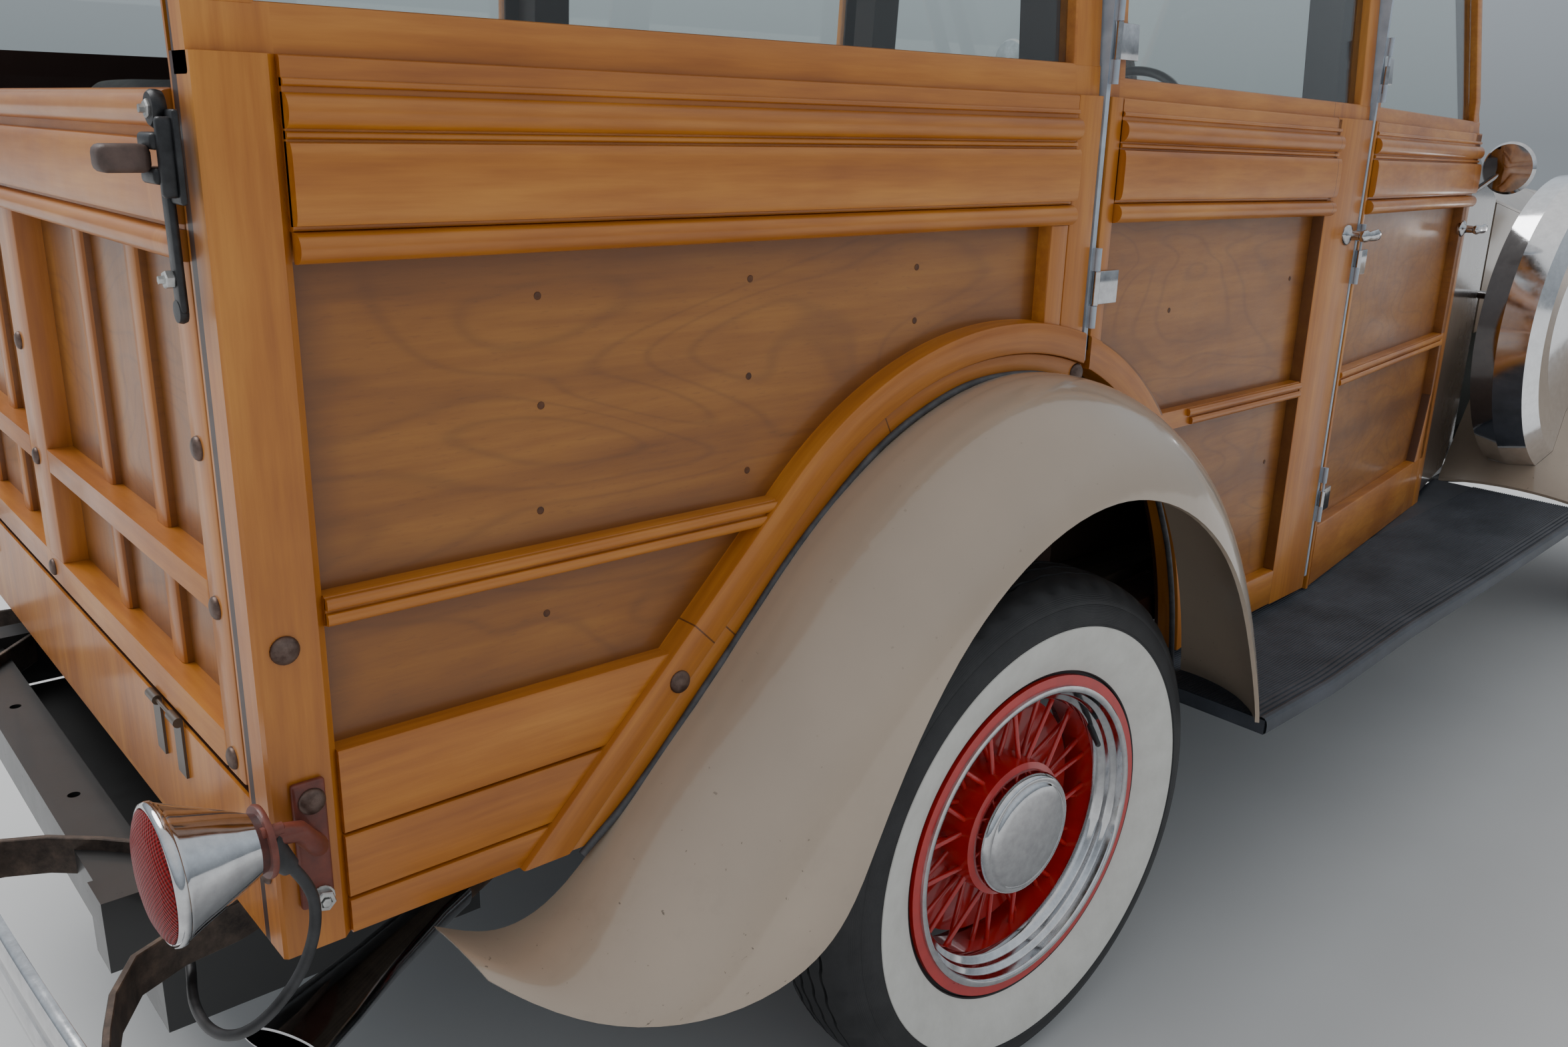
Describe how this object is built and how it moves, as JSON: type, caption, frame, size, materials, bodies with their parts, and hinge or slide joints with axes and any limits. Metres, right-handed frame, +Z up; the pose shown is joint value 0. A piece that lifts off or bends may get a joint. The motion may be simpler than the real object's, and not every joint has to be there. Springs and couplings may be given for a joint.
{
  "type": "wood-bodied station wagon of the 1930s",
  "caption": "Vintage wood-bodied station wagon with wire wheels, drop tailgate, rear-hinged doors and covered side spares; it drives, steers and opens.",
  "frame": {"origin": "on the ground under the middle of the whole vehicle's box", "axes": "+X forward, +Y to the driver's left, +Z up"},
  "size_m": [4.6416, 1.7646, 1.7649],
  "materials": {
    "varnished_maple": "varnished",
    "window_glass": "clear",
    "roof_cover": "grained",
    "body_brown": "gloss",
    "tan_paint": "gloss, chipped",
    "black_paint": "satin",
    "floor_board": "painted",
    "seat_leather": "satin",
    "board_rubber": "ribbed",
    "chrome": "polished",
    "dark_steel": "worn",
    "polished_metal": "polished",
    "red_enamel": "gloss",
    "tyre_rubber": "whitewall",
    "grey_strip": "satin",
    "engine_iron": "painted",
    "dark_rim": "satin"
  },
  "bodies": {
    "root": {"body_floor": "floor_board", "chassis_frame": "black_paint", "cowl": "body_brown", "dashboard": "body_brown", "engine_block": "engine_iron", "fixed_glass": "window_glass", "front_axle": "black_paint", "front_bumper": "chrome", "front_fenders": "tan_paint", "grille": "chrome", "headlamps": "chrome", "hinge_strips": "grey_strip", "mirror_right": "chrome", "quarter_panels": "varnished_maple", "radiator_shell": "tan_paint", "rear_axle": "black_paint", "rear_bumper": "dark_steel", "rear_fenders": "tan_paint", "roof": "roof_cover", "running_boards": "board_rubber", "seats": "seat_leather", "spare_wheels": "polished_metal", "tail_lamps": "chrome", "wood_frame": "varnished_maple"},
    "door_front_left": {"door_front_left": "varnished_maple", "glass_front_left": "window_glass", "mirror_left": "chrome"},
    "door_front_right": {"door_front_right": "varnished_maple", "glass_front_right": "window_glass"},
    "door_rear_left": {"door_rear_left": "varnished_maple", "glass_rear_left": "window_glass"},
    "door_rear_right": {"door_rear_right": "varnished_maple", "glass_rear_right": "window_glass"},
    "hood_side_left": {"hood_side_left": "tan_paint"},
    "hood_side_right": {"hood_side_right": "tan_paint"},
    "hood_top_left": {"hood_top_left": "tan_paint"},
    "hood_top_right": {"hood_top_right": "tan_paint"},
    "knuckle_left": {"knuckle_left": "black_paint"},
    "knuckle_right": {"knuckle_right": "black_paint"},
    "steering_wheel": {"steering_wheel": "dark_rim"},
    "tailgate": {"tailgate": "varnished_maple"},
    "wheel_front_left": {"tyre_front_left": "tyre_rubber", "wheel_front_left": "red_enamel"},
    "wheel_front_right": {"tyre_front_right": "tyre_rubber", "wheel_front_right": "red_enamel"},
    "wheel_rear_left": {"tyre_rear_left": "tyre_rubber", "wheel_rear_left": "red_enamel"},
    "wheel_rear_right": {"tyre_rear_right": "tyre_rubber", "wheel_rear_right": "red_enamel"}
  },
  "joints": [
    {"name": "front_door_left", "type": "hinge", "parent": "root", "child": "door_front_left", "pos_m": [-0.24389, 0.6459, 1], "axis": [0, 0, 1], "range_deg": [0, 70]},
    {"name": "rear_door_left", "type": "hinge", "parent": "root", "child": "door_rear_left", "pos_m": [-1.06656, 0.70598, 1], "axis": [0, 0, 1], "range_deg": [0, 70]},
    {"name": "steer_left", "type": "hinge", "parent": "root", "child": "knuckle_left", "pos_m": [1.624, 0.605, 0.35], "axis": [0, 0, 1], "range_deg": [-28, 28]},
    {"name": "spin_front_left", "type": "hinge", "parent": "knuckle_left", "child": "wheel_front_left", "pos_m": [1.624, 0.705, 0.35], "axis": [0, 1, 0], "continuous": true},
    {"name": "spin_rear_left", "type": "hinge", "parent": "root", "child": "wheel_rear_left", "pos_m": [-1.221, 0.74, 0.35], "axis": [0, 1, 0], "continuous": true},
    {"name": "front_door_right", "type": "hinge", "parent": "root", "child": "door_front_right", "pos_m": [-0.24389, -0.6459, 1], "axis": [0, 0, -1], "range_deg": [0, 70]},
    {"name": "rear_door_right", "type": "hinge", "parent": "root", "child": "door_rear_right", "pos_m": [-1.06656, -0.70598, 1], "axis": [0, 0, -1], "range_deg": [0, 70]},
    {"name": "steer_right", "type": "hinge", "parent": "root", "child": "knuckle_right", "pos_m": [1.624, -0.605, 0.35], "axis": [0, 0, 1], "range_deg": [-28, 28]},
    {"name": "spin_front_right", "type": "hinge", "parent": "knuckle_right", "child": "wheel_front_right", "pos_m": [1.624, -0.705, 0.35], "axis": [0, 1, 0], "continuous": true},
    {"name": "spin_rear_right", "type": "hinge", "parent": "root", "child": "wheel_rear_right", "pos_m": [-1.221, -0.74, 0.35], "axis": [0, 1, 0], "continuous": true},
    {"name": "tailgate_drop", "type": "hinge", "parent": "root", "child": "tailgate", "pos_m": [-2.141, 0, 0.665], "axis": [0, -1, 0], "range_deg": [0, 90]},
    {"name": "hood_lift_left", "type": "hinge", "parent": "root", "child": "hood_top_left", "pos_m": [0.985, 0, 1.1792], "axis": [0.9957, 0, -0.0928], "range_deg": [0, 60]},
    {"name": "hood_fold_left", "type": "hinge", "parent": "hood_top_left", "child": "hood_side_left", "pos_m": [0.985, 0.365, 1.0796], "axis": [-0.9783, 0.1689, 0.1202], "range_deg": [0, 60]},
    {"name": "hood_lift_right", "type": "hinge", "parent": "root", "child": "hood_top_right", "pos_m": [0.985, 0, 1.1792], "axis": [-0.9957, 0, 0.0928], "range_deg": [0, 60]},
    {"name": "hood_fold_right", "type": "hinge", "parent": "hood_top_right", "child": "hood_side_right", "pos_m": [0.985, -0.365, 1.0796], "axis": [0.9783, 0.1689, -0.1202], "range_deg": [0, 60]},
    {"name": "steering_turn", "type": "hinge", "parent": "root", "child": "steering_wheel", "pos_m": [0.249, 0.255, 1.185], "axis": [-0.866, 0, 0.5], "range_deg": [-504, 504]}
  ],
  "couplings": [
    {"joint": "steer_right", "follows": "steer_left", "ratio": 1},
    {"joint": "steering_turn", "follows": "steer_left", "ratio": 18},
    {"joint": "hood_fold_left", "follows": "hood_lift_left", "ratio": 1},
    {"joint": "hood_fold_right", "follows": "hood_lift_right", "ratio": 1}
  ]
}
